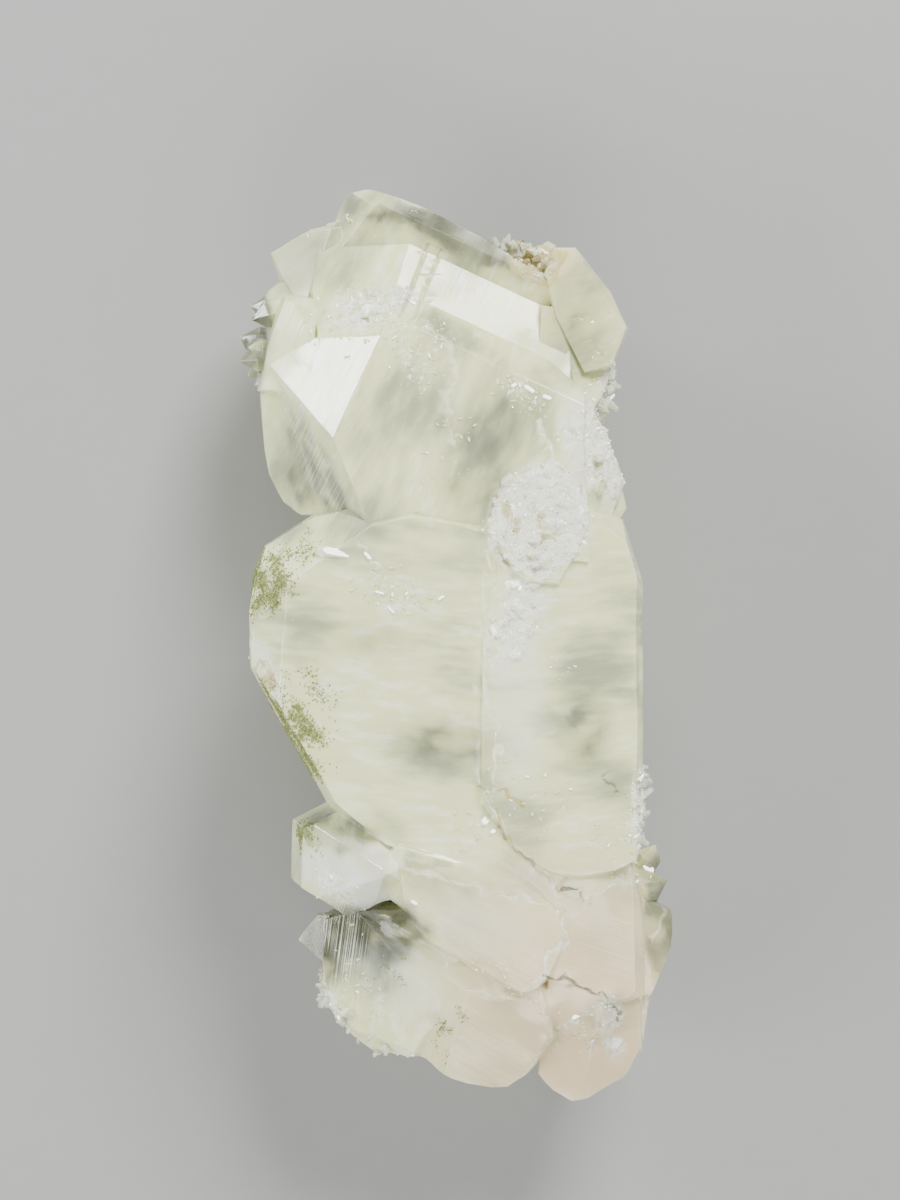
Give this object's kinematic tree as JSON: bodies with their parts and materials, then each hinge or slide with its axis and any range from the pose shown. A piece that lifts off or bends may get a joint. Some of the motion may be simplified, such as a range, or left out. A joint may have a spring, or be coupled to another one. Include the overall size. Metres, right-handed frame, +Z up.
{
  "type": "quartz crystal cluster",
  "caption": "Hand specimen of milky to clear quartz: broad six-sided crystals grown together side by side into one elongated block, with a flat broken back.",
  "frame": {"origin": "centre of the specimen's outline, on its flat broken back", "axes": "+Y along the specimen towards the end with the large terminations, +Z up out of the side that shows the best faces, +X to the right seen from above"},
  "size_m": [0.0582, 0.122, 0.0395],
  "materials": {
    "quartz": "natural crystal faces, glossy, with sugary broken patches"
  },
  "bodies": {
    "root": {"quartz_cluster": "quartz"}
  },
  "joints": []
}
